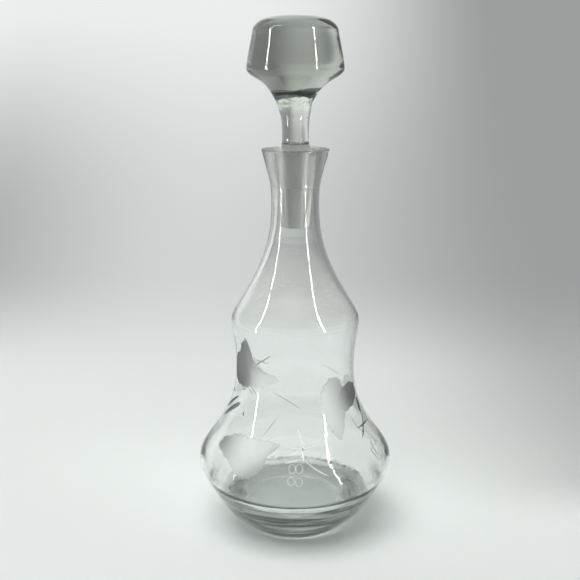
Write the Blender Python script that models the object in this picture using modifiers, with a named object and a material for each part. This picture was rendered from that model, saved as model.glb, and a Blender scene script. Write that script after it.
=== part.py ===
# Glass decanter: a waisted bottle with a thick, heavy base, and the solid
# glass stopper that is ground to its neck. Metres, +Z up. The origin is the
# centre of the foot, on the surface that the decanter stands on.
import math

import bpy

# Bottle, outer side: radii from the rim down to the foot
rim_radius = 0.0213
throat_radius = 0.0152
shoulder_radius = 0.0414
waist_radius = 0.0385
belly_radius = 0.0635
heel_radius = 0.0557
foot_radius = 0.0300

# Bottle, outer side: heights stacked up from the surface it stands on
foot_to_heel = 0.0285
heel_to_belly = 0.0185
belly_to_waist = 0.0632
waist_to_shoulder = 0.0311
shoulder_to_throat = 0.0703
throat_to_rim = 0.0384

# Bottle, glass thickness and inner side
base_thickness = 0.0209
pad_radius = 0.0308
gutter_radius = 0.0425
gutter_depth = 0.0033
inner_heel_radius = 0.0515
gutter_to_inner_heel = 0.0116
belly_wall = 0.0024
waist_wall = 0.0022
shoulder_wall = 0.0022
throat_wall = 0.0036
neck_edge = 0.0004

# Ground seat: the plug's taper, and how the bore fits round its upper part
plug_length = 0.0490
plug_top_radius = 0.0129
plug_tip_radius = 0.0088
plug_tip_edge = 0.0015
seat_clearance = 0.0003
seat_length = 0.0230

# Stopper above the rim: radii, and heights stacked up from the rim
stem_radius = 0.00835
bowl_radius = 0.0251
corner_radius = 0.0301
crown_edge_radius = 0.0262
crown_radius = 0.0200
fillet_height = 0.0050
fillet_drop = 0.0008
stem_to_bowl = 0.0385
bowl_to_corner = 0.0054
corner_to_crown_edge = 0.0225
crown_edge_to_crown = 0.0064
crown_rise = 0.0024

# Which way the outline runs at a station, in degrees above the outward
# direction: 90 climbs straight up, -90 drops straight down, 180 goes inwards
up = 90.0
down = -90.0
inwards = 180.0
outwards = 0.0
rim_flare_heading = -104.8
heel_heading = -118.4
foot_heading = -147.3
inner_heel_heading = 57.6
bowl_heading = -152.8
crown_edge_heading = -81.6
crown_heading = -21.7

# Handle lengths of each curve, as shares of the straight run between its two
# stations: the first at the upper station, the second at the lower one
rim_to_throat_shares = (0.576, 0.516)
throat_to_shoulder_shares = (0.490, 0.113)
shoulder_to_waist_shares = (0.246, 0.548)
waist_to_belly_shares = (0.558, 0.215)
belly_to_heel_shares = (0.276, 0.704)
heel_to_foot_shares = (0.416, 0.354)
seat_to_throat_shares = (0.300, 0.300)
belly_to_inner_heel_shares = (0.505, 0.255)
inner_heel_to_gutter_shares = (0.217, 0.562)
gutter_to_pad_shares = (0.393, 0.307)
crown_shares = (0.350, 0.356)
crown_edge_shares = (0.321, 0.327)
side_shares = (0.300, 0.204)
corner_shares = (0.292, 0.275)
bowl_shares = (0.494, 0.185)
fillet_shares = (0.350, 0.300)
tip_edge_shares = (0.550, 0.550)

# Facets: round the axis, and steps along the outlines' curves
turn_steps = 48
long_steps = 10
short_steps = 6
edge_steps = 3
merge_distance = 0.00001

heel_height = foot_to_heel
belly_height = heel_height + heel_to_belly
waist_height = belly_height + belly_to_waist
shoulder_height = waist_height + waist_to_shoulder
throat_height = shoulder_height + shoulder_to_throat
rim_height = throat_height + throat_to_rim


def clear_scene():
    for item in list(bpy.data.objects):
        bpy.data.objects.remove(item, do_unlink=True)


def heading_vector(degrees):
    angle = math.radians(degrees)
    return math.cos(angle), math.sin(angle)


def curve(start, start_heading, end, end_heading, shares, steps):
    """Points along one cubic curve, from its start to just before its end."""
    run = math.dist(start, end)
    start_x, start_z = heading_vector(start_heading)
    end_x, end_z = heading_vector(end_heading)
    first, last = shares
    handle_a = (start[0] + start_x * run * first, start[1] + start_z * run * first)
    handle_b = (end[0] - end_x * run * last, end[1] - end_z * run * last)
    points = []
    for step in range(steps):
        t = step / steps
        s = 1 - t
        weights = (s * s * s, 3 * s * s * t, 3 * s * t * t, t * t * t)
        corners = (start, handle_a, handle_b, end)
        radius = sum(weight * point[0] for weight, point in zip(weights, corners))
        height = sum(weight * point[1] for weight, point in zip(weights, corners))
        points.append((radius, height))
    return points


def line(start, end, steps):
    """Points along a straight run, from its start to just before its end."""
    points = []
    for step in range(steps):
        t = step / steps
        radius = start[0] + (end[0] - start[0]) * t
        height = start[1] + (end[1] - start[1]) * t
        points.append((radius, height))
    return points


def plug_radius(drop):
    """Radius of the plug's taper at a depth below the rim."""
    return plug_top_radius - (plug_top_radius - plug_tip_radius) * drop / plug_length


def bottle_outline():
    """The section of the glass: from the raised pad of the inner floor through
    the gutter round it, up the inner wall, over the ground rim, down the outer
    wall and in along the foot to the axis."""
    gutter_height = base_thickness - gutter_depth
    pad_edge = (pad_radius, base_thickness)
    gutter = (gutter_radius, gutter_height)
    inner_heel = (inner_heel_radius, gutter_height + gutter_to_inner_heel)
    inner_belly = (belly_radius - belly_wall, belly_height)
    inner_waist = (waist_radius - waist_wall, waist_height)
    inner_shoulder = (shoulder_radius - shoulder_wall, shoulder_height)
    inner_throat = (throat_radius - throat_wall, throat_height)
    seat_foot = (plug_radius(seat_length) + seat_clearance, rim_height - seat_length)
    bore_mouth = (plug_radius(neck_edge) + seat_clearance, rim_height - neck_edge)
    rim_inner = (bore_mouth[0] + neck_edge, rim_height)
    rim_outer = (rim_radius - neck_edge, rim_height)
    rim = (rim_radius, rim_height - neck_edge)
    throat = (throat_radius, throat_height)
    shoulder = (shoulder_radius, shoulder_height)
    waist = (waist_radius, waist_height)
    belly = (belly_radius, belly_height)
    heel = (heel_radius, heel_height)
    foot = (foot_radius, 0)

    inner = line((0, base_thickness), pad_edge, edge_steps)
    inner += curve(pad_edge, outwards, gutter, outwards, gutter_to_pad_shares[::-1], short_steps)
    heel_shares = inner_heel_to_gutter_shares[::-1]
    inner += curve(gutter, outwards, inner_heel, inner_heel_heading, heel_shares, short_steps)
    side_up_shares = belly_to_inner_heel_shares[::-1]
    inner += curve(inner_heel, inner_heel_heading, inner_belly, up, side_up_shares, short_steps)
    inner += curve(inner_belly, up, inner_waist, up, waist_to_belly_shares[::-1], long_steps)
    inner += curve(inner_waist, up, inner_shoulder, up, shoulder_to_waist_shares[::-1], short_steps)
    neck_shares = throat_to_shoulder_shares[::-1]
    inner += curve(inner_shoulder, up, inner_throat, up, neck_shares, long_steps)
    inner += curve(inner_throat, up, seat_foot, up, seat_to_throat_shares[::-1], edge_steps)
    inner += line(seat_foot, bore_mouth, edge_steps)

    lip = [bore_mouth, rim_inner, rim_outer]

    outer = curve(rim, rim_flare_heading, throat, down, rim_to_throat_shares, short_steps)
    outer += curve(throat, down, shoulder, down, throat_to_shoulder_shares, long_steps)
    outer += curve(shoulder, down, waist, down, shoulder_to_waist_shares, short_steps)
    outer += curve(waist, down, belly, down, waist_to_belly_shares, long_steps)
    outer += curve(belly, down, heel, heel_heading, belly_to_heel_shares, short_steps)
    outer += curve(heel, heel_heading, foot, foot_heading, heel_to_foot_shares, short_steps)

    under = line(foot, (0, 0), edge_steps) + [(0, 0)]
    return inner + lip + outer + under


def stopper_outline():
    """The stopper's section, from the top of its crown down to the plug's tip.
    Heights are counted from the rim, where the stopper has its origin."""
    stem_height = fillet_height
    bowl_height = stem_height + stem_to_bowl
    corner_height = bowl_height + bowl_to_corner
    crown_edge_height = corner_height + corner_to_crown_edge
    crown_height = crown_edge_height + crown_edge_to_crown

    top = (0, crown_height + crown_rise)
    crown = (crown_radius, crown_height)
    crown_edge = (crown_edge_radius, crown_edge_height)
    corner = (corner_radius, corner_height)
    bowl = (bowl_radius, bowl_height)
    stem = (stem_radius, stem_height)
    plug_top = (plug_radius(fillet_drop), -fillet_drop)
    tip_edge = (plug_radius(plug_length - plug_tip_edge), plug_tip_edge - plug_length)
    tip = (plug_tip_radius - plug_tip_edge, -plug_length)

    outline = curve(top, outwards, crown, crown_heading, crown_shares, edge_steps)
    outline += curve(crown, crown_heading, crown_edge, crown_edge_heading, crown_edge_shares, short_steps)
    outline += curve(crown_edge, crown_edge_heading, corner, down, side_shares, edge_steps)
    outline += curve(corner, down, bowl, bowl_heading, corner_shares, short_steps)
    outline += curve(bowl, bowl_heading, stem, down, bowl_shares, long_steps)
    outline += curve(stem, down, plug_top, outwards, fillet_shares, short_steps)
    outline += line(plug_top, tip_edge, edge_steps)
    outline += curve(tip_edge, down, tip, inwards, tip_edge_shares, edge_steps)
    return outline + [tip, (0, -plug_length)]


def clear_glass(name, color, roughness):
    material = bpy.data.materials.new(name)
    material.use_nodes = True
    shader = material.node_tree.nodes["Principled BSDF"]
    shader.inputs["Base Color"].default_value = color
    shader.inputs["Roughness"].default_value = roughness
    shader.inputs["Metallic"].default_value = 0.0
    shader.inputs["Transmission Weight"].default_value = 1.0
    shader.inputs["IOR"].default_value = 1.52
    material.diffuse_color = color
    return material


def turned(name, outline, material, collection):
    """An object whose section is turned once round the Z axis."""
    mesh = bpy.data.meshes.new(name)
    points = [(radius, 0, height) for radius, height in outline]
    edges = [(index, index + 1) for index in range(len(points) - 1)]
    mesh.from_pydata(points, edges, [])
    mesh.materials.append(material)
    piece = bpy.data.objects.new(name, mesh)
    collection.objects.link(piece)

    turn = piece.modifiers.new("Turn", "SCREW")
    turn.axis = "Z"
    turn.angle = math.tau
    turn.steps = turn_steps
    turn.render_steps = turn_steps
    turn.use_merge_vertices = True
    turn.merge_threshold = merge_distance
    turn.use_smooth_shade = True

    shading = piece.modifiers.new("Crisp edges", "WEIGHTED_NORMAL")
    shading.keep_sharp = True
    return piece


def make_bottle(collection):
    glass = clear_glass("bottle_glass", (0.93, 0.96, 0.94, 1.0), 0.02)
    return turned("bottle", bottle_outline(), glass, collection)


def make_stopper(collection):
    glass = clear_glass("stopper_glass", (0.90, 0.93, 0.91, 1.0), 0.03)
    stopper = turned("stopper", stopper_outline(), glass, collection)
    stopper.location = (0, 0, rim_height)
    return stopper


def main():
    clear_scene()
    collection = bpy.data.collections.new("glass_decanter")
    bpy.context.scene.collection.children.link(collection)
    make_bottle(collection)
    make_stopper(collection)


main()
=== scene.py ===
import bisect
import math

import bmesh
import bpy
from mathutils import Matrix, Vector
from mathutils.geometry import interpolate_bezier


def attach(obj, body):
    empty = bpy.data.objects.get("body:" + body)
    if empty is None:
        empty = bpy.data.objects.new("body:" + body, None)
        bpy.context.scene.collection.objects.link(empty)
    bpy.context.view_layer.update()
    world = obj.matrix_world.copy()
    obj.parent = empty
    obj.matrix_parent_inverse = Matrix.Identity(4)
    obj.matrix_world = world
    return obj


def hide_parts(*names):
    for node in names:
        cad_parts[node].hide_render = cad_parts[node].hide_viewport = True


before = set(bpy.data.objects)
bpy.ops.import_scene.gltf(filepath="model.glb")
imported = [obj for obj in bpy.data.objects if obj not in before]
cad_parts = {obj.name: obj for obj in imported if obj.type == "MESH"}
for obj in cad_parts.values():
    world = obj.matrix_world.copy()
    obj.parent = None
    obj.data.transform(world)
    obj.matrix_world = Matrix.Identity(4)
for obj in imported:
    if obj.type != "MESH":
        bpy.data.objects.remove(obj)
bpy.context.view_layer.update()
mm = 0.001
print("frame loaded")

up, down, outwards, inwards = 90.0, -90.0, 0.0, 180.0  # headings of an outline, in degrees

bottleShape = {
    "rimRadius": 21.3 * mm,
    "throatRadius": 15.2 * mm,
    "shoulderRadius": 41.4 * mm,
    "waistRadius": 38.5 * mm,
    "bellyRadius": 63.5 * mm,
    "heelRadius": 55.7 * mm,
    "footRadius": 30.0 * mm,
    "heelHeight": 28.5 * mm,
    "bellyHeight": 47.0 * mm,
    "waistHeight": 110.2 * mm,
    "shoulderHeight": 141.3 * mm,
    "throatHeight": 211.6 * mm,
    "rimHeight": 250.0 * mm,
    "padRadius": 30.8 * mm,
    "padHeight": 20.9 * mm,
    "gutterRadius": 42.5 * mm,
    "gutterHeight": 17.6 * mm,
    "innerHeelRadius": 51.5 * mm,
    "innerHeelHeight": 29.2 * mm,
    "bellyWall": 2.4 * mm,
    "waistWall": 2.2 * mm,
    "shoulderWall": 2.2 * mm,
    "throatWall": 3.6 * mm,
    "rimEdge": 0.4 * mm,
    "sides": 240,
    "ringsPerCurve": 30,
    "keepEvery": 3,  # one ring in so many stays, away from the engraving
    "fineFoot": 47.0 * mm,
    "fineTop": 141.3 * mm,
}

stopperShape = {
    "plugLength": 49.0 * mm,
    "plugTopRadius": 12.9 * mm,
    "plugTipRadius": 8.8 * mm,
    "plugTipEdge": 1.5 * mm,
    "seatClearance": 0.3 * mm,
    "seatLength": 23.0 * mm,
    "stemRadius": 8.35 * mm,
    "bowlRadius": 25.1 * mm,
    "cornerRadius": 30.1 * mm,
    "crownEdgeRadius": 26.2 * mm,
    "crownRadius": 20.0 * mm,
    "filletHeight": 5.0 * mm,
    "filletDrop": 0.8 * mm,
    "bowlHeight": 43.5 * mm,
    "cornerHeight": 48.9 * mm,
    "crownEdgeHeight": 71.4 * mm,
    "crownHeight": 77.8 * mm,
    "topHeight": 80.2 * mm,
    "waveFoot": 17 * mm,
    "waveTop": 40 * mm,
    "waveDepth": 0.34 * mm,
    "waveLean": 1.6 * mm,
    # share of the depth, waves round the stem, height that shifts one by a radian, start
    "waves": ((0.6, 3, 1.9 * mm, 0), (0.4, 7, -1.1 * mm, 1)),
    "sides": 128,
    "ringsPerCurve": 24,
    "keepEvery": 1,
}

turning = {
    "mergeDistance": 0.005 * mm,
    "smoothTurn": 35,
}


def plugRadius(drop):
    s = stopperShape
    return s["plugTopRadius"] - (s["plugTopRadius"] - s["plugTipRadius"]) * drop / s["plugLength"]


def selectOnly(piece):
    bpy.ops.object.select_all(action="DESELECT")
    piece.select_set(True)
    bpy.context.view_layer.objects.active = piece


# A station is radius, height, heading, and how far its handles reach back and on
# as shares of the run to the station before and after it
def drawOutline(stations, rings):
    bpy.ops.object.select_all(action="DESELECT")
    bpy.ops.curve.primitive_bezier_curve_add(location=(0, 0, 0))
    outline = bpy.context.object
    outline.data.resolution_u = rings
    spline = outline.data.splines[0]
    spline.bezier_points.add(len(stations) - 2)
    for number, (radius, height, heading, back, ahead) in enumerate(stations):
        here = Vector((radius, 0, height))
        before = stations[max(number - 1, 0)]
        after = stations[min(number + 1, len(stations) - 1)]
        runBack = (here - Vector((before[0], 0, before[1]))).length
        runAhead = (here - Vector((after[0], 0, after[1]))).length
        angle = math.radians(heading)
        way = Vector((math.cos(angle), 0, math.sin(angle)))
        point = spline.bezier_points[number]
        point.handle_left_type = point.handle_right_type = "FREE"
        point.co = here
        point.handle_left = here - way * runBack * back
        point.handle_right = here + way * runAhead * ahead
    return outline


# Only the engraved part of the skin keeps all its rings
def thinRings(piece, shape, stationCount):
    bpy.ops.mesh.select_all(action="DESELECT")
    bpy.ops.object.mode_set(mode="OBJECT")
    corners = piece.data.vertices
    for number in range((stationCount - 1) * shape["ringsPerCurve"]):
        outside = number > len(corners) / 2
        fine = outside and shape["fineFoot"] < corners[number].co.z < shape["fineTop"]
        corners[number].select = number % shape["keepEvery"] > 0 and not fine
    bpy.ops.object.mode_set(mode="EDIT")
    bpy.ops.mesh.dissolve_verts()


def turnOnAxis(name, stations, shape):
    drawOutline(stations, shape["ringsPerCurve"])
    bpy.ops.object.convert(target="MESH")
    piece = bpy.context.object
    piece.name = name
    piece.data.name = name
    bpy.ops.object.mode_set(mode="EDIT")
    if shape["keepEvery"] > 1:
        thinRings(piece, shape, len(stations))
    bpy.ops.mesh.select_all(action="SELECT")
    bpy.ops.mesh.spin(steps=shape["sides"], angle=math.tau, center=(0, 0, 0), axis=(0, 0, 1))
    bpy.ops.mesh.select_all(action="SELECT")
    bpy.ops.mesh.remove_doubles(threshold=turning["mergeDistance"])
    bpy.ops.mesh.normals_make_consistent(inside=False)
    bpy.ops.object.mode_set(mode="OBJECT")
    bpy.ops.object.shade_smooth_by_angle(angle=math.radians(turning["smoothTurn"]))
    return piece


def bottleStations():
    b, s = bottleShape, stopperShape
    rim = b["rimHeight"]
    edge = b["rimEdge"]
    seatFoot = plugRadius(s["seatLength"]) + s["seatClearance"]
    boreMouth = plugRadius(edge) + s["seatClearance"]
    taper = 90 - math.degrees(math.atan((boreMouth - seatFoot) / (s["seatLength"] - edge)))
    return [
        (0, b["padHeight"], outwards, 0, 0.3),
        (b["padRadius"], b["padHeight"], outwards, 0.3, 0.307),
        (b["gutterRadius"], b["gutterHeight"], outwards, 0.393, 0.562),
        (b["innerHeelRadius"], b["innerHeelHeight"], 57.6, 0.217, 0.255),
        (b["bellyRadius"] - b["bellyWall"], b["bellyHeight"], up, 0.505, 0.215),
        (b["waistRadius"] - b["waistWall"], b["waistHeight"], up, 0.558, 0.548),
        (b["shoulderRadius"] - b["shoulderWall"], b["shoulderHeight"], up, 0.246, 0.113),
        (b["throatRadius"] - b["throatWall"], b["throatHeight"], up, 0.49, 0.3),
        (seatFoot, rim - s["seatLength"], up, 0.3, 0),
        (boreMouth, rim - edge, taper, 0, 0.5),
        (boreMouth + edge, rim, outwards, 0.5, 0),
        (b["rimRadius"] - edge, rim, outwards, 0, 0.5),
        (b["rimRadius"], rim - edge, -104.8, 0.5, 0.576),
        (b["throatRadius"], b["throatHeight"], down, 0.516, 0.49),
        (b["shoulderRadius"], b["shoulderHeight"], down, 0.113, 0.246),
        (b["waistRadius"], b["waistHeight"], down, 0.548, 0.558),
        (b["bellyRadius"], b["bellyHeight"], down, 0.215, 0.276),
        (b["heelRadius"], b["heelHeight"], -118.4, 0.704, 0.416),
        (b["footRadius"], 0, -147.3, 0.354, 0),
        (0, 0, inwards, 0, 0),
    ]


def stopperStations():
    s = stopperShape
    rim = bottleShape["rimHeight"]
    tip = s["plugTipEdge"]
    return [
        (0, rim + s["topHeight"], outwards, 0, 0.35),
        (s["crownRadius"], rim + s["crownHeight"], -21.7, 0.356, 0.321),
        (s["crownEdgeRadius"], rim + s["crownEdgeHeight"], -81.6, 0.327, 0.3),
        (s["cornerRadius"], rim + s["cornerHeight"], down, 0.204, 0.292),
        (s["bowlRadius"], rim + s["bowlHeight"], -152.8, 0.275, 0.494),
        (s["stemRadius"], rim + s["filletHeight"], down, 0.185, 0.35),
        (plugRadius(s["filletDrop"]), rim - s["filletDrop"], outwards, 0.3, 0),
        (plugRadius(s["plugLength"] - tip), rim - s["plugLength"] + tip, down, 0, 0.55),
        (s["plugTipRadius"] - tip, rim - s["plugLength"], inwards, 0.55, 0),
        (0, rim - s["plugLength"], inwards, 0, 0),
    ]


def setOrLink(tree, sockets, values):
    for socket, value in zip(sockets, values):
        if isinstance(value, (int, float)):
            socket.default_value = value
        else:
            tree.links.new(value, socket)


# A Math node; its values are numbers or other nodes' outputs
def sumUp(tree, kind, *values):
    node = tree.nodes.new("ShaderNodeMath")
    node.operation = kind
    setOrLink(tree, node.inputs, values)
    return node.outputs["Value"]


def multiply(tree, first, *others):
    for other in others:
        first = sumUp(tree, "MULTIPLY", first, other)
    return first


def mixTones(tree, share, first, second):
    node = tree.nodes.new("ShaderNodeMix")
    setOrLink(tree, (node.inputs[0], node.inputs[2], node.inputs[3]), (share, first, second))
    return node.outputs[0]


# A node that eases a coordinate from one tone to another between two places
def easeBetween(tree, source, places, low, high):
    ease = tree.nodes.new("ShaderNodeMapRange")
    ease.interpolation_type = "SMOOTHSTEP"
    for socket, value in zip(("From Min", "From Max", "To Min", "To Max"), (*places, low, high)):
        ease.inputs[socket].default_value = value
    tree.links.new(source, ease.inputs["Value"])
    return ease.outputs["Result"]


def fadeIn(tree, source, places):
    return easeBetween(tree, source, places, 0.0, 1.0)


def fadeOut(tree, source, places):
    return easeBetween(tree, source, places, 1.0, 0.0)


# 1 between two fades, 0 outside them
def within(tree, source, rise, fall):
    return multiply(tree, fadeIn(tree, source, rise), fadeOut(tree, source, fall))


# The place on the piece, whole and as X, Y and Z
def placeOnPiece(tree):
    place = tree.nodes.new("ShaderNodeTexCoord")
    split = tree.nodes.new("ShaderNodeSeparateXYZ")
    tree.links.new(place.outputs["Object"], split.inputs["Vector"])
    return place.outputs["Object"], split.outputs


# Distance from the axis, and height
def radiusAndHeight(tree):
    axes = placeOnPiece(tree)[1]
    squares = [sumUp(tree, "MULTIPLY", axes[name], axes[name]) for name in ("X", "Y")]
    return sumUp(tree, "SQRT", sumUp(tree, "ADD", *squares)), axes["Z"]


def noiseAt(tree, place, scale, detail=2.0):
    noise = tree.nodes.new("ShaderNodeTexNoise")
    noise.inputs["Scale"].default_value = scale
    noise.inputs["Detail"].default_value = detail
    tree.links.new(place, noise.inputs["Vector"])
    return noise.outputs["Fac"]


def shadeColor(tree, color, tone):
    node = tree.nodes.new("ShaderNodeVectorMath")
    node.operation = "SCALE"
    node.inputs[0].default_value = color[:3]
    tree.links.new(tone, node.inputs["Scale"])
    return node.outputs["Vector"]


def chooseShader(tree, share, first, second):
    choose = tree.nodes.new("ShaderNodeMixShader")
    tree.links.new(share, choose.inputs["Fac"])
    tree.links.new(first, choose.inputs[1])
    tree.links.new(second, choose.inputs[2])
    return choose.outputs["Shader"]


# Each pair below is the two places between which a finish fades in or out. Foot and Top
# are heights above the table, Skin and Inside are distances from the axis
glassFinish = {
    "ior": 1.52,
    "bottleTint": (0.39, 0.43, 0.395, 1.0),
    "bottleDensity": 20.0,
    "stopperTint": (0.26, 0.30, 0.23, 1.0),
    "stopperDensity": 21.0,
    "cleanGlass": (0.995, 1.0, 0.995, 1.0),
    # light that lamps send through: clear glass, and the thick glass of the heel
    "lampTint": (0.97, 0.98, 0.97, 1.0),
    "heelLampTint": (0.29, 0.31, 0.30, 1.0),
    "heelTop": (30 * mm, 44 * mm),
    "heelInside": (31 * mm, 36 * mm),
    # painted shade: the dark, streaky band round the heel
    "heelShadeTone": 0.05,
    "bandFoot": (16.0 * mm, 17.4 * mm),
    "bandTop": (26.6 * mm, 28.2 * mm),
    "bandWiden": 0.2,  # how much higher it reaches for each step to the side
    "bandSkin": (35.0 * mm, 35.6 * mm),
    "bandLean": 0.633,  # how far its skin moves out for each step up
    "streakScale": (24.0, 24.0, 420.0),
    "streakFade": (0.40, 0.58),
    "streakShare": 0.5,
    # painted shade on a ring above the foot
    "footShadeTone": 0.44,
    "footTop": (8.5 * mm, 10.5 * mm),
    "footSkin": (30.1 * mm, 30.5 * mm),
    # the narrow stem, greyed by painted shade, and a fold across its top painted dark as shade
    "stemShadeTone": 0.78,
    "stemFoot": (251 * mm, 254 * mm),
    "stemTop": (272 * mm, 277 * mm),
    "stemSkin": (11 * mm, 12 * mm),
    "foldShadeTone": 0.04,
    "foldFoot": (283.4 * mm, 284.0 * mm),
    "foldTop": (287.6 * mm, 288.4 * mm),
    "foldSlope": 0.2,  # how much it climbs for each step to the right
    "foldWave": 3 * mm,
    "foldWaveScale": 160.0,
    "foldBack": (-4 * mm, 0.0),
    "foldSkin": (16.6 * mm, 17.6 * mm),
    # the neck's outside, grey from the ground seat inside and from painted shade, and its flat
    # ground rim, painted dark as shade
    "neckGreyAndShadeTone": 0.69,
    "neckFoot": (140 * mm, 232 * mm),
    "neckTop": (250.2 * mm, 250.6 * mm),
    "neckSkin": (14.0 * mm, 14.4 * mm),
    "rimShadeTone": 0.25,
    "rimFoot": (249.7 * mm, 249.9 * mm),
    "rimInside": (13.3 * mm, 13.5 * mm),
    # the ground bore and plug
    "groundTone": 0.80,
    "groundRoughness": 0.30,
    "seatReach": 0.6 * mm,
    "seatEdge": 0.3 * mm,
    "boreDrop": 6 * mm,
    "boreFade": 9 * mm,
    "plugFade": 1 * mm,
    # engraved leaves, with painted shade where they turn away from the eye, and the cuts
    "leafTone": 0.90,
    "leafTurnedShadeTone": 0.12,
    "leafTurn": (0.16, 0.52),
    "leafRoughness": 0.40,
    # the dark cuts are painted in shade
    "deepCutShadeTone": 0.25,
    "deepRoughness": 0.25,
    "whiteTone": 1.0,
    "whiteRoughness": 0.60,
    "whiteClearness": 0.20,
    # unevenness of the skin, stronger on the stem and the body and as rings at the heel
    "rippleScale": 600.0,
    "rippleHeight": 0.02 * mm,
    "ringScale": 320.0,
    "ringRipple": 9.0,
    "ringTop": (20 * mm, 32 * mm),
    "stemRipple": 14.0,
    "stemRippleFoot": (266 * mm, 272 * mm),
    "stemRippleTop": (282 * mm, 286 * mm),
    "bodyRipple": 1.3,
    "bodyRippleFoot": (36 * mm, 50 * mm),
    "bodyRippleTop": (256 * mm, 262 * mm),
}


# The faint unevenness of fire-polished glass, which breaks long highlights into beads
def handRipple(tree):
    g = glassFinish
    height = radiusAndHeight(tree)[1]
    skin = noiseAt(tree, placeOnPiece(tree)[0], g["rippleScale"], 0.0)
    rings = tree.nodes.new("ShaderNodeTexNoise")
    rings.noise_dimensions = "1D"
    rings.inputs["Scale"].default_value = g["ringScale"]
    rings.inputs["Detail"].default_value = 1.0
    tree.links.new(height, rings.inputs["W"])
    ringShare = easeBetween(tree, height, g["ringTop"], g["ringRipple"], 0.0)
    stem = multiply(
        tree,
        easeBetween(tree, height, g["stemRippleFoot"], 0.0, g["stemRipple"]),
        fadeOut(tree, height, g["stemRippleTop"]),
    )
    body = multiply(
        tree,
        easeBetween(tree, height, g["bodyRippleFoot"], 1.0, g["bodyRipple"]),
        easeBetween(tree, height, g["bodyRippleTop"], 1.0, 1 / g["bodyRipple"]),
    )
    ripple = multiply(tree, skin, sumUp(tree, "ADD", stem, body))
    relief = sumUp(tree, "ADD", ripple, multiply(tree, rings.outputs["Fac"], ringShare))
    bump = tree.nodes.new("ShaderNodeBump")
    bump.inputs["Distance"].default_value = g["rippleHeight"]
    tree.links.new(relief, bump.inputs["Height"])
    return bump.outputs["Normal"]


# 1 in the thick glass round the foot, which bends lamp light away from under it
def heelShare(tree):
    radius, height = radiusAndHeight(tree)
    low = fadeOut(tree, height, glassFinish["heelTop"])
    return multiply(tree, low, fadeIn(tree, radius, glassFinish["heelInside"]))


# 1 where a ray enters glass, 0 where it leaves it
def enteringShare(tree):
    side = tree.nodes.new("ShaderNodeNewGeometry")
    return sumUp(tree, "SUBTRACT", 1.0, side.outputs["Backfacing"])


# 1 in a band round the outside of the heel, painted dark and streaky as shade. It
# is broader at the left and right
def heelShadeBand(tree):
    g = glassFinish
    radius, height = radiusAndHeight(tree)
    place, axes = placeOnPiece(tree)
    stretch = tree.nodes.new("ShaderNodeVectorMath")
    stretch.operation = "MULTIPLY"
    stretch.inputs[1].default_value = g["streakScale"]
    tree.links.new(place, stretch.inputs[0])
    noise = noiseAt(tree, stretch.outputs["Vector"], 1.0)
    streaks = easeBetween(tree, noise, g["streakFade"], g["streakShare"], 1.0)
    aside = multiply(tree, sumUp(tree, "ABSOLUTE", axes["X"]), g["bandWiden"])
    climb = sumUp(tree, "SUBTRACT", height, aside)
    reach = sumUp(tree, "SUBTRACT", radius, multiply(tree, height, g["bandLean"]))
    return multiply(
        tree,
        fadeIn(tree, height, g["bandFoot"]),
        fadeOut(tree, climb, g["bandTop"]),
        fadeIn(tree, reach, g["bandSkin"]),
        streaks,
        enteringShare(tree),
    )


# 1 in a ring of the skin just above the foot, painted dark as shade
def footShadeRing(tree):
    radius, height = radiusAndHeight(tree)
    low = fadeOut(tree, height, glassFinish["footTop"])
    outer = fadeIn(tree, radius, glassFinish["footSkin"])
    return multiply(tree, low, enteringShare(tree), outer)


# 1 on the narrow part of the stopper's stem, which is greyed by painted shade
def stemShare(tree):
    g = glassFinish
    radius, height = radiusAndHeight(tree)
    narrow = within(tree, height, g["stemFoot"], g["stemTop"])
    return multiply(tree, narrow, fadeOut(tree, radius, g["stemSkin"]))


# 1 in a slanted band across the front of the stopper's stem, where hot glass was drawn out,
# painted dark as shade
def stemFoldShade(tree):
    g = glassFinish
    radius, height = radiusAndHeight(tree)
    place, axes = placeOnPiece(tree)
    rise = sumUp(tree, "SUBTRACT", height, multiply(tree, axes["X"], g["foldSlope"]))
    wave = multiply(tree, noiseAt(tree, place, g["foldWaveScale"]), g["foldWave"])
    rise = sumUp(tree, "ADD", rise, wave)
    return multiply(
        tree,
        within(tree, rise, g["foldFoot"], g["foldTop"]),
        fadeOut(tree, axes["Y"], g["foldBack"]),
        fadeOut(tree, radius, g["foldSkin"]),
    )


# 1 on the outside of the neck, fading down to the shoulder. The ground seat inside it
# greys what is seen through it, and painted shade darkens it further
def neckShare(tree):
    g = glassFinish
    radius, height = radiusAndHeight(tree)
    high = within(tree, height, g["neckFoot"], g["neckTop"])
    return multiply(tree, high, fadeIn(tree, radius, g["neckSkin"]))


# 1 on the flat ground rim, which is rough and painted dark as shade
def rimShare(tree):
    g = glassFinish
    radius, height = radiusAndHeight(tree)
    top = within(tree, height, g["rimFoot"], g["neckTop"])
    return multiply(tree, top, fadeIn(tree, radius, g["rimInside"]))


# 1 on the ground bore or plug, between two heights, fading at the lower one
def seatShare(tree, low, high, fade):
    edge = glassFinish["seatEdge"]
    reach = stopperShape["plugTopRadius"] + glassFinish["seatReach"]
    radius, height = radiusAndHeight(tree)
    seat = within(tree, height, (low - fade, low + fade), (high, high + edge))
    return multiply(tree, seat, fadeOut(tree, radius, (reach, reach + edge)))
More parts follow.
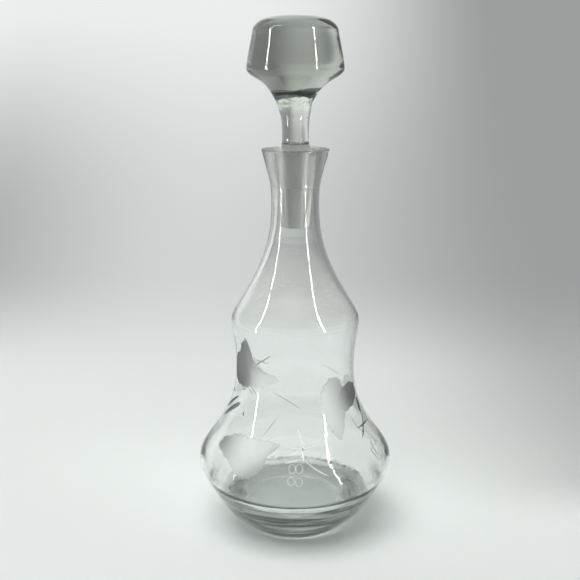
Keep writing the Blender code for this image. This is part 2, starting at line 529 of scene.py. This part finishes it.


# Glass, clear to lamps in its shadow and grey-green by its thickness, with painted
# shade on parts of it. One material has every finish, so the tint inside starts and
# ends at the same skin: the face attribute "frost" is 1 in leaves, 2 in cuts painted
# dark as shade and 3 in white ones, and the others go by their place
def glassMaterial(name, insideTint, density, seat):
    g = glassFinish
    material = bpy.data.materials.new(name)
    material.use_nodes = True
    tree = material.node_tree
    shader = tree.nodes["Principled BSDF"]
    shader.inputs["IOR"].default_value = g["ior"]

    tone = 1.0
    # painted shade: the heel band, the stem, its fold and the foot ring; the neck is grey from
    # its ground seat and painted shade
    for share, level in (
        (heelShadeBand(tree), g["heelShadeTone"]),
        (stemShare(tree), g["stemShadeTone"]),
        (stemFoldShade(tree), g["foldShadeTone"]),
        (footShadeRing(tree), g["footShadeTone"]),
        (neckShare(tree), g["neckGreyAndShadeTone"]),
    ):
        tone = mixTones(tree, share, tone, level)

    cut = tree.nodes.new("ShaderNodeAttribute")
    cut.attribute_name = "frost"
    leaf, deep, white = [sumUp(tree, "COMPARE", cut.outputs["Fac"], kind) for kind in (1, 2, 3)]
    turned = tree.nodes.new("ShaderNodeLayerWeight").outputs["Facing"]
    leafTone = easeBetween(tree, turned, g["leafTurn"], g["leafTone"], g["leafTurnedShadeTone"])
    rough = 0.0
    # the rim, the leaves where they turn away and the dark cuts take painted shade
    for share, roughness, level in (
        (rimShare(tree), g["groundRoughness"], g["rimShadeTone"]),
        (seatShare(tree, *seat), g["groundRoughness"], g["groundTone"]),
        (leaf, g["leafRoughness"], leafTone),
        (deep, g["deepRoughness"], g["deepCutShadeTone"]),
        (white, g["whiteRoughness"], g["whiteTone"]),
    ):
        rough = mixTones(tree, share, rough, roughness)
        tone = mixTones(tree, share, tone, level)
    clearness = mixTones(tree, white, 1.0, g["whiteClearness"])
    tree.links.new(rough, shader.inputs["Roughness"])
    tree.links.new(clearness, shader.inputs["Transmission Weight"])
    tree.links.new(shadeColor(tree, g["cleanGlass"], tone), shader.inputs["Base Color"])
    tree.links.new(handRipple(tree), shader.inputs["Normal"])

    lampTint = tree.nodes.new("ShaderNodeMix")
    lampTint.data_type = "RGBA"
    lampTint.inputs["A"].default_value = g["lampTint"]
    lampTint.inputs["B"].default_value = g["heelLampTint"]
    tree.links.new(heelShare(tree), lampTint.inputs["Factor"])
    letThrough = tree.nodes.new("ShaderNodeBsdfTransparent")
    tree.links.new(lampTint.outputs["Result"], letThrough.inputs["Color"])
    shadow = tree.nodes.new("ShaderNodeLightPath").outputs["Is Shadow Ray"]
    glass = chooseShader(tree, shadow, shader.outputs["BSDF"], letThrough.outputs["BSDF"])

    inside = tree.nodes.new("ShaderNodeVolumeAbsorption")
    inside.inputs["Color"].default_value = insideTint
    inside.inputs["Density"].default_value = density
    out = tree.nodes["Material Output"]
    tree.links.new(glass, out.inputs["Surface"])
    tree.links.new(inside.outputs["Volume"], out.inputs["Volume"])
    return material


# Engraved by a wheel: places are an azimuth in degrees, 0 in front and growing to the
# right, and a height in mm; a leaf's own places are counted from its middle
engraving = {
    "leafDepth": 0.50 * mm,
    "bladeDepth": 0.42 * mm,
    "lineDepth": 0.34 * mm,
    "grooveRadius": 0.14 * mm,
    # how far a cutter's edge and its back stand off the skin
    "lift": 0.08 * mm,
    "lid": 0.8 * mm,
    "skinSteps": 200,
    # faces round and across each cutter
    "leafGrid": (144, 24),
    "bladeGrid": (8, 16),
    "lineGrid": (2, 14),
    "grapeGrid": (24, 6),
    # edges inside a cut that turn by more degrees than this stay crisp
    "crispTurn": 14,
    # a leaf's teeth, of two widths in degrees, and the ridges between its lobes
    "tooth": 0.16,
    "toothWidths": (7.5, 19.0),
    "lobes": 3,
    "lobeRidge": 0.15,
    "lobeTurn": 40,
    "leafFrost": 1.0,
    # a leaf's edge, as degrees round from its right and mm from its middle
    "leaves": {
        "tall": [
            (6, 12.7), (27, 8.3), (63, 8.9), (76, 12.6), (81, 16.5), (92, 21.4), (110, 17.0),
            (126, 14.0), (139, 14.4), (158, 17.2), (177, 19.5), (193, 22.8), (210, 20.3),
            (230, 15.9), (252, 13.0), (276, 10.4), (306, 12.5), (326, 15.0), (340, 17.9),
            (351, 23.8), (359, 18.5),
        ],
        "broad": [
            (1, 25.4), (16, 23.4), (37, 16.2), (49, 10.4), (64, 11.4), (77, 13.9), (90, 15.8),
            (111, 16.4), (130, 15.6), (155, 13.4), (186, 11.6), (218, 12.9), (237, 16.6),
            (248, 20.2), (261, 23.5), (273, 17.7), (280, 13.1), (303, 9.4), (328, 12.5),
            (346, 19.0),
        ],
        "low": [
            (6, 16.1), (16, 20.4), (21, 26.1), (33, 19.4), (56, 12.7), (92, 10.4), (125, 13.5),
            (159, 20.1), (174, 25.8), (183, 24.7), (193, 18.4), (213, 12.2), (244, 11.6),
            (274, 14.6), (295, 16.0), (319, 15.3), (346, 15.4),
        ],
    },
    "leafPlaces": [
        ("tall", -49.1, 113.9), ("broad", 41.0, 94.4), ("low", -36.0, 65.1),
        ("tall", -112, 98), ("broad", 112, 84),
    ],
    # stem end, tip, half width and bend in mm, fullest place as a share
    "blades": [
        ((-58, 90.5), (-87, 75.5), 2.0, 0.8, 0.4),
        ((-64, 94), (-92, 80), 1.2, 0.4, 0.5),
        ((77, 91), (73, 80.5), 2.4, 0.0, 0.5),
        ((-50.6, 86.6), (-49.6, 84.0), 0.6, 0.0, 0.5),
    ],
    # cuts painted dark as shade and cuts that go white; a line is start, end, half width and bend
    # in mm, and a grape is middle, half across and half along in mm, turned by degrees
    "deepCut": {
        "frost": 2.0,
        "lines": [
            [
                ((-39.6, 118.6), (-21.6, 127.2), 0.50, 0.2),
                ((-22, 102.9), (5.9, 92.6), 0.20, -1.0),
                ((-14.9, 88.2), (-25.4, 76.4), 0.20, 0.3),
                ((75.3, 80.0), (56.4, 69.0), 0.75, 0.0),
                ((-48, 104.5), (-38.5, 99.5), 0.22, 0.0),
                ((54.0, 84), (61.0, 71.8), 0.24, 1.0),
                ((63.8, 66.0), (62.6, 57.0), 0.34, 0.8),
            ],
            [
                ((-38.4, 122.6), (-23.6, 121.1), 0.42, 0.3),
                ((56.0, 75.2), (79.5, 74.8), 0.70, 0.0),
                ((25, 120.5), (47, 110.4), 0.16, -0.8),
                ((-50, 102.5), (-42.5, 98.5), 0.20, 0.0),
                ((67.5, 69.5), (71.5, 60.0), 0.30, -0.8),
                ((59.0, 63.0), (61.0, 54.5), 0.30, 0.6),
            ],
        ],
        "grapes": [
            [
                ((66.5, 64.5), 2.6, 2.8, 20), ((60.6, 60.4), 2.2, 2.4, 20),
                ((67.4, 57.6), 2.4, 2.4, 20),
            ],
            [
                ((63.4, 69.6), 2.4, 2.4, 20), ((71.0, 61.6), 2.4, 2.6, 20),
                ((63.6, 56.2), 2.2, 2.2, 20),
            ],
        ],
    },
    "whiteCut": {
        "frost": 3.0,
        "lines": [
            [
                ((4.6, 71.0), (-5.8, 72.0), 0.50, 0.0),
                ((4.6, 70.2), (5.4, 64.4), 0.75, 0.0),
                ((1.8, 82.0), (4.6, 75.2), 0.75, -0.3),
                ((6.2, 65.0), (20, 56.0), 0.50, 0.6),
            ],
            [
                ((4, 71), (-6.0, 67.0), 0.50, 0.0),
                ((3.9, 76.1), (6.9, 73.0), 0.75, 0.0),
                ((3.0, 65.6), (-7.0, 63.7), 0.40, 0.0),
            ],
            [
                ((4, 71), (25.4, 75.8), 0.48, 0.8),
                ((6.8, 74.0), (3.8, 70.2), 0.70, 0.0),
            ],
        ],
        "grapes": [
            [((-2.0, 61.0), 2.1, 2.8, 6), ((-2.6, 54.6), 2.0, 2.6, 4)],
            [((2.4, 61.0), 2.1, 2.8, -6), ((2.0, 54.2), 2.0, 2.6, -4)],
        ],
    },
}


# The skin from the throat to the foot, as arc lengths down it, radii and heights
def skinRun():
    stations = [item for item in bottleStations() if item[0] > 0][-6:]
    points = []
    for first, last in zip(stations, stations[1:]):
        here, there = Vector((first[0], first[1], 0)), Vector((last[0], last[1], 0))
        reach = (there - here).length
        angles = math.radians(first[2]), math.radians(last[2])
        ways = [Vector((math.cos(angle), math.sin(angle), 0)) for angle in angles]
        handles = here + ways[0] * reach * first[4], there - ways[1] * reach * last[3]
        points += interpolate_bezier(here, *handles, there, engraving["skinSteps"])[:-1]
    arcs = [0.0]
    for before, point in zip(points, points[1:]):
        arcs.append(arcs[-1] + (point - before).length)
    return arcs, [point.x for point in points], [point.y for point in points]


def lookUp(keys, values, key):
    spot = min(max(bisect.bisect_left(keys, key), 1), len(keys) - 1)
    share = (key - keys[spot - 1]) / (keys[spot] - keys[spot - 1])
    return values[spot - 1] + (values[spot] - values[spot - 1]) * share


def arcAt(run, height):
    arcs, _, heights = run
    return lookUp([-value for value in heights], arcs, -height)


# Lays a flat cutter on the skin: x across, y up the skin and z out of it, in metres
def layOnSkin(cutter, run, azimuth, arc):
    arcs, radii, heights = run
    middleRadius = lookUp(arcs, radii, arc)
    for corner in cutter.data.vertices:
        across, climb, out = corner.co
        here = arc - climb
        radius, height = lookUp(arcs, radii, here), lookUp(arcs, heights, here)
        widening = lookUp(arcs, radii, here + mm) - lookUp(arcs, radii, here - mm)
        drop = lookUp(arcs, heights, here - mm) - lookUp(arcs, heights, here + mm)
        radius += out * drop / math.hypot(widening, drop)
        height += out * widening / math.hypot(widening, drop)
        angle = math.radians(azimuth) + across / middleRadius
        corner.co = (radius * math.sin(angle), -radius * math.cos(angle), height)


# Where a cut's stem end and tip lie on the flat, from the point halfway between them
def flatEnds(run, start, end):
    azimuth = (start[0] + end[0]) / 2
    arc = (arcAt(run, start[1] * mm) + arcAt(run, end[1] * mm)) / 2
    radius = lookUp(run[0], run[1], arc)
    flat = []
    for place in (start, end):
        across = math.radians(place[0] - azimuth) * radius
        flat.append(Vector((across, arc - arcAt(run, place[1] * mm), 0)))
    return azimuth, arc, flat[0], flat[1]


def slabFor(across, along):
    bpy.ops.object.select_all(action="DESELECT")
    bpy.ops.mesh.primitive_grid_add(
        x_subdivisions=across, y_subdivisions=along, size=2, location=(0, 0, 0)
    )
    bpy.ops.object.mode_set(mode="EDIT")
    bpy.ops.mesh.extrude_region_move(TRANSFORM_OT_translate={"value": (0, 0, 1)})
    bpy.ops.mesh.select_all(action="SELECT")
    bpy.ops.mesh.normals_make_consistent(inside=False)
    bpy.ops.object.mode_set(mode="OBJECT")
    return bpy.context.object


# A slab bent along its spine; width and depth are functions of the place along it
def shapeSlab(slab, first, last, bend, width, depth):
    lid, lift = engraving["lid"], engraving["lift"]
    out = Vector((0, 0, 1))
    side = (last - first).normalized().cross(out)
    control = (first + last) / 2 + side * bend * 2
    for corner in slab.data.vertices:
        aside, along, upper = corner.co.x, (corner.co.y + 1) / 2, corner.co.z > 0.5
        spine = first * (1 - along) ** 2 + control * 2 * along * (1 - along) + last * along ** 2
        way = (control - first) * (1 - along) + (last - control) * along
        place = spine + way.normalized().cross(out) * aside * width(along)
        place.z = lid if upper else lift - (depth(along) + lift) * (1 - aside * aside)
        corner.co = place


# A blade is fullest at a share of its length, and its tip is sharper than its stem end.
# Its ends keep a little width and depth
def cutBlade(run, start, end, halfWidth, bend, fullest):
    azimuth, arc, first, last = flatEnds(run, start, end)
    power = math.log(0.5) / math.log(fullest)
    stemSharpness, tipSharpness = 0.55, 0.45  # the tip has both
    endWidth, endDepth, fullDepth = 0.03, 0.15, 1.1

    def swell(along):
        return max(math.sin(math.pi * along ** power), 0.0)

    def width(along):
        sharpness = stemSharpness + tipSharpness * along
        return halfWidth * mm * max(swell(along) ** sharpness, endWidth)

    def depth(along):
        return engraving["bladeDepth"] * min(1.0, endDepth + fullDepth * swell(along) ** 0.5)

    slab = slabFor(*engraving["bladeGrid"])
    shapeSlab(slab, first, last, bend * mm, width, depth)
    layOnSkin(slab, run, azimuth, arc)
    return slab


def cutLine(run, start, end, halfWidth, bend):
    azimuth, arc, first, last = flatEnds(run, start, end)
    endWidth, endDepth = 0.02 * mm, 0.1

    def width(along):
        return halfWidth * mm * max(4 * along * (1 - along), 0.0) ** 0.5 + endWidth

    def depth(along):
        deepest = min(engraving["lineDepth"], halfWidth * mm)
        return deepest * (endDepth + (1 - endDepth) * (4 * along * (1 - along)) ** 0.5)

    slab = slabFor(*engraving["lineGrid"])
    shapeSlab(slab, first, last, bend * mm, width, depth)
    layOnSkin(slab, run, azimuth, arc)
    return slab


def cutGrape(run, place, halfAcross, halfAlong, turn):
    bpy.ops.object.select_all(action="DESELECT")
    steps, sides = engraving["grapeGrid"]
    bpy.ops.mesh.primitive_torus_add(
        major_segments=steps, minor_segments=sides, major_radius=1, minor_radius=0.5
    )
    ring = bpy.context.object
    thickness = 2 * engraving["grooveRadius"]
    lean = math.radians(turn)
    for corner in ring.data.vertices:
        angle = math.atan2(corner.co.y, corner.co.x)
        spread = (math.hypot(corner.co.x, corner.co.y) - 1) * thickness
        x = (halfAcross * mm + spread) * math.cos(angle)
        y = (halfAlong * mm + spread) * math.sin(angle)
        across = x * math.cos(lean) - y * math.sin(lean)
        along = x * math.sin(lean) + y * math.cos(lean)
        corner.co = (across, along, corner.co.z * thickness)
    layOnSkin(ring, run, place[0], arcAt(run, place[1] * mm))
    return ring


# A leaf's whole hollow: a flattened ball whose rim follows the leaf's edge, with small
# uneven teeth, and whose floor has a shallow ridge between its lobes
def cutLeaf(run, edge, azimuth, height):
    e = engraving
    segments, rings = e["leafGrid"]
    ridge = e["lobeRidge"]
    bpy.ops.object.select_all(action="DESELECT")
    bpy.ops.mesh.primitive_uv_sphere_add(segments=segments, ring_count=rings, radius=1)
    leaf = bpy.context.object
    turns = [edge[-1][0] - 360] + [point[0] for point in edge] + [edge[0][0] + 360]
    reaches = [edge[-1][1]] + [point[1] for point in edge] + [edge[0][1]]
    for corner in leaf.data.vertices:
        x, y, z = corner.co
        angle = math.degrees(math.atan2(y, x)) % 360
        share = min(math.hypot(x, y), 1.0)
        teeth = sum((angle / width) % 1 * 0.5 for width in e["toothWidths"]) - 0.5
        reach = lookUp(turns, reaches, angle) * mm * (1 + e["tooth"] * teeth * share ** 4)
        if z > 0:
            out = e["lid"] * min(z * 4, 1)
        else:
            turn = math.radians(e["lobes"] * angle + e["lobeTurn"])
            wave = ridge * math.cos(turn) * min(share * 1.6, 1)
            out = -e["leafDepth"] * (1 - share ** 2.5) ** 0.6 * (1 - ridge + wave)
        corner.co = (x * reach, y * reach, out)
    layOnSkin(leaf, run, azimuth, arcAt(run, height * mm))
    return leaf


# One pass of the wheel: cutters that don't touch each other are joined and taken away
def carve(piece, glass, cutters, finish):
    bpy.ops.object.select_all(action="DESELECT")
    for cutter in cutters:
        cutter.select_set(True)
    bpy.context.view_layer.objects.active = cutters[0]
    bpy.ops.object.join()
    cutter = bpy.context.object
    cutter.data.materials.append(glass)
    frost = cutter.data.attributes.new("frost", "FLOAT", "FACE")
    frost.data.foreach_set("value", [finish] * len(cutter.data.polygons))
    selectOnly(piece)
    cut = piece.modifiers.new("Cut", "BOOLEAN")
    cut.operation = "DIFFERENCE"
    cut.solver = "MANIFOLD"
    cut.object = cutter
    bpy.ops.object.modifier_apply(modifier=cut.name)
    bpy.data.objects.remove(cutter, do_unlink=True)


# The skin keeps its round shading, and each cut keeps a crisp edge
def crispCuts(piece):
    mesh = bmesh.new()
    mesh.from_mesh(piece.data)
    frost = mesh.faces.layers.float["frost"]
    crispTurn = math.radians(engraving["crispTurn"])
    for face in mesh.faces:
        face.smooth = True
    for edge in mesh.edges:
        if len(edge.link_faces) == 2:
            sides = [face[frost] for face in edge.link_faces]
            bothCut = min(sides) > 0 and edge.calc_face_angle(0) > crispTurn
            if sides[0] != sides[1] or bothCut:
                edge.smooth = False
    mesh.to_mesh(piece.data)
    mesh.free()


def engrave(piece, glass):
    run = skinRun()
    e = engraving
    leaves = [cutLeaf(run, e["leaves"][kind], *place) for kind, *place in e["leafPlaces"]]
    carve(piece, glass, leaves, e["leafFrost"])
    carve(piece, glass, [cutBlade(run, *blade) for blade in e["blades"]], e["leafFrost"])
    print("leaves cut")
    for cut in (e["deepCut"], e["whiteCut"]):
        for lines in cut["lines"]:
            carve(piece, glass, [cutLine(run, *line) for line in lines], cut["frost"])
        for grapes in cut["grapes"]:
            carve(piece, glass, [cutGrape(run, *grape) for grape in grapes], cut["frost"])
    crispCuts(piece)
    print("tendrils and grapes cut")


def makeBottle():
    rim = bottleShape["rimHeight"]
    piece = turnOnAxis("blownBottle", bottleStations(), bottleShape)
    low = rim - stopperShape["seatLength"] - glassFinish["boreDrop"]
    seat = (low, rim, glassFinish["boreFade"])
    tint, density = glassFinish["bottleTint"], glassFinish["bottleDensity"]
    glass = glassMaterial("blownGlass", tint, density, seat)
    piece.data.materials.append(glass)
    piece.data.attributes.new("frost", "FLOAT", "FACE")
    print("bottle blown:", len(piece.data.polygons), "faces")
    engrave(piece, glass)
    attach(piece, "bottle")
    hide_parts("bottle")
    print("bottle engraved:", len(piece.data.polygons), "faces")


# The neck of the stopper was drawn out by hand, so it is slightly uneven and leans
def waveStem(piece):
    s = stopperShape
    rim = bottleShape["rimHeight"]
    low, high = rim + s["waveFoot"], rim + s["waveTop"]
    for corner in piece.data.vertices:
        x, y, z = corner.co
        if low < z < high:
            share = math.sin(math.pi * (z - low) / (high - low)) ** 2
            turn = math.atan2(x, -y)
            swell = sum(
                weight * math.sin(lobes * turn + z / rise + start)
                for weight, lobes, rise, start in s["waves"]
            )
            widen = 1 + share * swell * s["waveDepth"] / math.hypot(x, y)
            climb = share * s["waveLean"] * math.sin(turn)
            corner.co = (x * widen, y * widen, z + climb)


def makeStopper():
    s = stopperShape
    rim = bottleShape["rimHeight"]
    piece = turnOnAxis("solidStopper", stopperStations(), s)
    waveStem(piece)
    seat = (rim - s["plugLength"], rim - s["filletDrop"], glassFinish["plugFade"])
    tint, density = glassFinish["stopperTint"], glassFinish["stopperDensity"]
    piece.data.materials.append(glassMaterial("castGlass", tint, density, seat))
    piece.data.attributes.new("frost", "FLOAT", "FACE")
    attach(piece, "stopper")
    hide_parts("stopper")
    print("stopper turned:", len(piece.data.polygons), "faces")


# Lengths in metres; each pair is the two places between which a tone fades
studio = {
    "floorHalfWidth": 1.6,
    "floorFront": -1.4,
    "bendStart": 0.35,
    "bendRadius": 0.9,
    "bendSteps": 24,
    "wallTop": 2.4,
    "paperTint": (0.965, 1.0, 0.985, 1.0),
    "paperRoughness": 0.8,
    # the floor, and the painted shadow where it dims at the right and back
    "floorTone": 0.81,
    "floorShadowTone": 0.50,
    "dimAcross": (0.05, 0.30),
    "dimBack": (-0.02, 0.07),
    # two half rings of the floor that only show through glass: a painted shadow behind the foot
    # and a painted glow in front of it
    "backRingShadowTone": 0.62,
    "backRingInside": (29 * mm, 32 * mm),
    "backRingOutside": (58 * mm, 80 * mm),
    "backRingFront": (-0.01, 0.01),
    "frontRingGlowTone": 0.91,
    "frontRingShare": 0.8,
    "frontRingInside": (30 * mm, 33 * mm),
    "frontRingOutside": (58 * mm, 66 * mm),
    "frontRingBack": (-0.02, 0.0),
    # painted light: paper seen through glass is brighter
    "throughGlassLight": 1.08,
    # the wall and where it starts at the back, its pale middle, painted shade to its sides,
    # a painted wash of light at its upper left, and painted light at its far left
    "wallStart": (0.30, 0.62),
    "wallPaleTone": 0.66,
    "wallShadeTone": 0.345,
    "paleMiddle": -0.12,
    "paleReach": 0.46,
    "washTone": 0.86,
    "washAcross": (-0.1, 0.35),
    "washUp": (0.04, 0.42),
    "sideLightTone": 1.0,
    "sideAcross": (-0.8, -0.4),
    # the room; a way up of 1 is straight up
    "roomColor": (0.15, 0.156, 0.153, 1.0),
    "roomSeenColor": (0.42, 0.437, 0.43, 1.0),
    "ceilingLift": 5.0,
    "ceilingEdge": (0.70, 0.85),
    "fillSize": 2.2,
    "fillPower": 71.0,
    "fillPlace": (-0.5, -0.8, 2.6),
    "fillAim": (0, 0.3, 0.1),
    "stripWidth": 0.009,
    "stripDistance": 0.5,
    # azimuth in degrees, radiance, height of foot and top
    "strips": ((-70.0, 90.0, 0.002, 1.8), (50.0, 95.0, 0.002, 1.8)),
}


# 1 for rays from the camera, a reflection or the far side of glass
def seenRays(tree):
    path = tree.nodes.new("ShaderNodeLightPath")
    seen = sumUp(tree, "MAXIMUM", path.outputs["Is Camera Ray"], path.outputs["Is Glossy Ray"])
    return sumUp(tree, "MAXIMUM", seen, path.outputs["Is Transmission Ray"])


# Painted light and shade on the wall: pale in the middle, shaded to the sides, lit at the upper
# left and far left
def wallTones(tree, across, rise):
    t = studio
    aside = sumUp(tree, "ABSOLUTE", sumUp(tree, "SUBTRACT", across, t["paleMiddle"]))
    tone = easeBetween(tree, aside, (0, t["paleReach"]), t["wallPaleTone"], t["wallShadeTone"])
    wash = multiply(tree, fadeOut(tree, across, t["washAcross"]), fadeIn(tree, rise, t["washUp"]))
    tone = mixTones(tree, wash, tone, t["washTone"])
    return mixTones(tree, fadeOut(tree, across, t["sideAcross"]), tone, t["sideLightTone"])


# The floor, with a painted shadow at the right and back, and a painted shadow ring behind the
# foot that only shows through glass
def floorTones(tree, across, back, radius, throughGlass):
    t = studio
    dim = multiply(tree, fadeIn(tree, across, t["dimAcross"]), fadeIn(tree, back, t["dimBack"]))
    ring = multiply(
        tree,
        within(tree, radius, t["backRingInside"], t["backRingOutside"]),
        fadeIn(tree, back, t["backRingFront"]),
        throughGlass,
    )
    tone = mixTones(tree, dim, t["floorTone"], t["floorShadowTone"])
    return mixTones(tree, ring, tone, t["backRingShadowTone"])


# Pale paper. The wall glows by itself where it is seen as painted light, brightest at the upper
# left and in painted shade at the right, and so does the floor's front ring, seen through the
# heel; the floor has painted shadows
def seamlessPaper():
    t = studio
    material = bpy.data.materials.new("seamlessPaper")
    material.use_nodes = True
    tree = material.node_tree
    shader = tree.nodes["Principled BSDF"]
    shader.inputs["Roughness"].default_value = t["paperRoughness"]
    shader.inputs["Specular IOR Level"].default_value = 0.0
    axes = placeOnPiece(tree)[1]
    across, back, rise = axes["X"], axes["Y"], axes["Z"]
    radius = radiusAndHeight(tree)[0]
    throughGlass = tree.nodes.new("ShaderNodeLightPath").outputs["Is Transmission Ray"]
    # painted light: paper seen through glass is brighter
    lift = mixTones(tree, throughGlass, 1.0, t["throughGlassLight"])

    floor = multiply(tree, floorTones(tree, across, back, radius, throughGlass), lift)
    tree.links.new(shadeColor(tree, t["paperTint"], floor), shader.inputs["Base Color"])

    # painted light: the floor's front ring glows where it is seen through glass
    frontRing = multiply(
        tree,
        fadeIn(tree, radius, t["frontRingInside"]),
        easeBetween(tree, radius, t["frontRingOutside"], t["frontRingShare"], 0.0),
        fadeOut(tree, back, t["frontRingBack"]),
        throughGlass,
    )
    wall = multiply(tree, wallTones(tree, across, rise), lift)
    glowing = tree.nodes.new("ShaderNodeEmission")
    glowing.inputs["Color"].default_value = t["paperTint"]
    glow = mixTones(tree, frontRing, wall, t["frontRingGlowTone"])
    tree.links.new(glow, glowing.inputs["Strength"])
    wallSeen = multiply(tree, seenRays(tree), fadeIn(tree, back, t["wallStart"]))
    share = sumUp(tree, "MAXIMUM", wallSeen, frontRing)
    paper = chooseShader(tree, share, shader.outputs["BSDF"], glowing.outputs["Emission"])
    tree.links.new(paper, tree.nodes["Material Output"].inputs["Surface"])
    return material


def makeSweep():
    t = studio
    bpy.ops.object.select_all(action="DESELECT")
    bpy.ops.mesh.primitive_plane_add(size=1, location=(0, 0, 0))
    sweep = bpy.context.object
    sweep.name = "paperSweep"
    start, radius, steps = t["bendStart"], t["bendRadius"], t["bendSteps"]
    profile = [(t["floorFront"], 0.0), (start, 0.0)]
    for step in range(1, steps + 1):
        angle = math.radians(90 * step / steps)
        profile.append((start + radius * math.sin(angle), radius * (1 - math.cos(angle))))
    profile.append((start + radius, t["wallTop"]))
    mesh = bmesh.new()
    rows = []
    for y, z in profile:
        rows.append([mesh.verts.new((side * t["floorHalfWidth"], y, z)) for side in (-1, 1)])
    for low, high in zip(rows, rows[1:]):
        mesh.faces.new((low[0], low[1], high[1], high[0]))
    mesh.to_mesh(sweep.data)
    mesh.free()
    sweep.data.shade_smooth()
    sweep.data.materials.append(seamlessPaper())


# A lamp that lights the scene and isn't seen by the camera or through glass
def addLamp(place, target, shape, size):
    bpy.ops.object.light_add(type="AREA", location=place)
    lamp = bpy.context.object
    lamp.data.shape = shape
    lamp.data.size = size
    lamp.visible_camera = False
    lamp.visible_transmission = False
    way = Vector(target) - lamp.location
    lamp.rotation_euler = way.to_track_quat("-Z", "Y").to_euler()
    return lamp


def makeLamps():
    t = studio
    fill = addLamp(t["fillPlace"], t["fillAim"], "SQUARE", t["fillSize"])
    fill.data.energy = t["fillPower"]
    fill.visible_glossy = False
    for azimuth, radiance, foot, top in t["strips"]:
        angle = math.radians(azimuth)
        height = top - foot
        middle = foot + height / 2
        across, back = t["stripDistance"] * math.sin(angle), -t["stripDistance"] * math.cos(angle)
        strip = addLamp((across, back, middle), (0, 0, middle), "RECTANGLE", t["stripWidth"])
        strip.data.size_y = height
        strip.data.energy = radiance * math.pi * t["stripWidth"] * height
        strip.visible_diffuse = False


# The room looks paler than it lights, and glass also shows a bright ceiling, which the
# top of the stem gathers. It doesn't light the floor
def makeRoom():
    t = studio
    world = bpy.data.worlds.new("room")
    bpy.context.scene.world = world
    world.use_nodes = True
    tree = world.node_tree
    room = tree.nodes["Background"]
    room.inputs["Color"].default_value = t["roomColor"]
    seenRoom = tree.nodes.new("ShaderNodeBackground")
    seenRoom.inputs["Color"].default_value = t["roomSeenColor"]
    split = tree.nodes.new("ShaderNodeSeparateXYZ")
    way = tree.nodes.new("ShaderNodeTexCoord")
    tree.links.new(way.outputs["Generated"], split.inputs["Vector"])
    path = tree.nodes.new("ShaderNodeLightPath")
    ceiling = multiply(
        tree,
        fadeIn(tree, split.outputs["Z"], t["ceilingEdge"]),
        path.outputs["Is Transmission Ray"],
        sumUp(tree, "LESS_THAN", path.outputs["Diffuse Depth"], 0.5),
    )
    lift = mixTones(tree, ceiling, 1.0, t["ceilingLift"])
    tree.links.new(lift, seenRoom.inputs["Strength"])
    seen = seenRays(tree)
    shown = chooseShader(tree, seen, room.outputs["Background"], seenRoom.outputs["Background"])
    tree.links.new(shown, tree.nodes["World Output"].inputs["Surface"])


view = {
    "distance": 603.9 * mm,
    "height": 305.2 * mm,
    "sidestep": -3.3 * mm,
    "pitch": 13.55,
    "focalPixels": 963.4,
    "framePixels": 580,
    "sensor": 36.0,
    "clipStart": 10 * mm,
}


def makeCamera():
    bpy.ops.object.camera_add(location=(view["sidestep"], -view["distance"], view["height"]))
    camera = bpy.context.object
    camera.rotation_euler = (math.radians(90 - view["pitch"]), 0, 0)
    camera.data.sensor_width = view["sensor"]
    camera.data.lens = view["focalPixels"] * view["sensor"] / view["framePixels"]
    camera.data.clip_start = view["clipStart"]
    bpy.context.scene.camera = camera


makeCamera()
makeBottle()
makeStopper()
makeSweep()
makeLamps()
makeRoom()
bpy.context.scene.view_settings.view_transform = "Standard"
print("studio set")
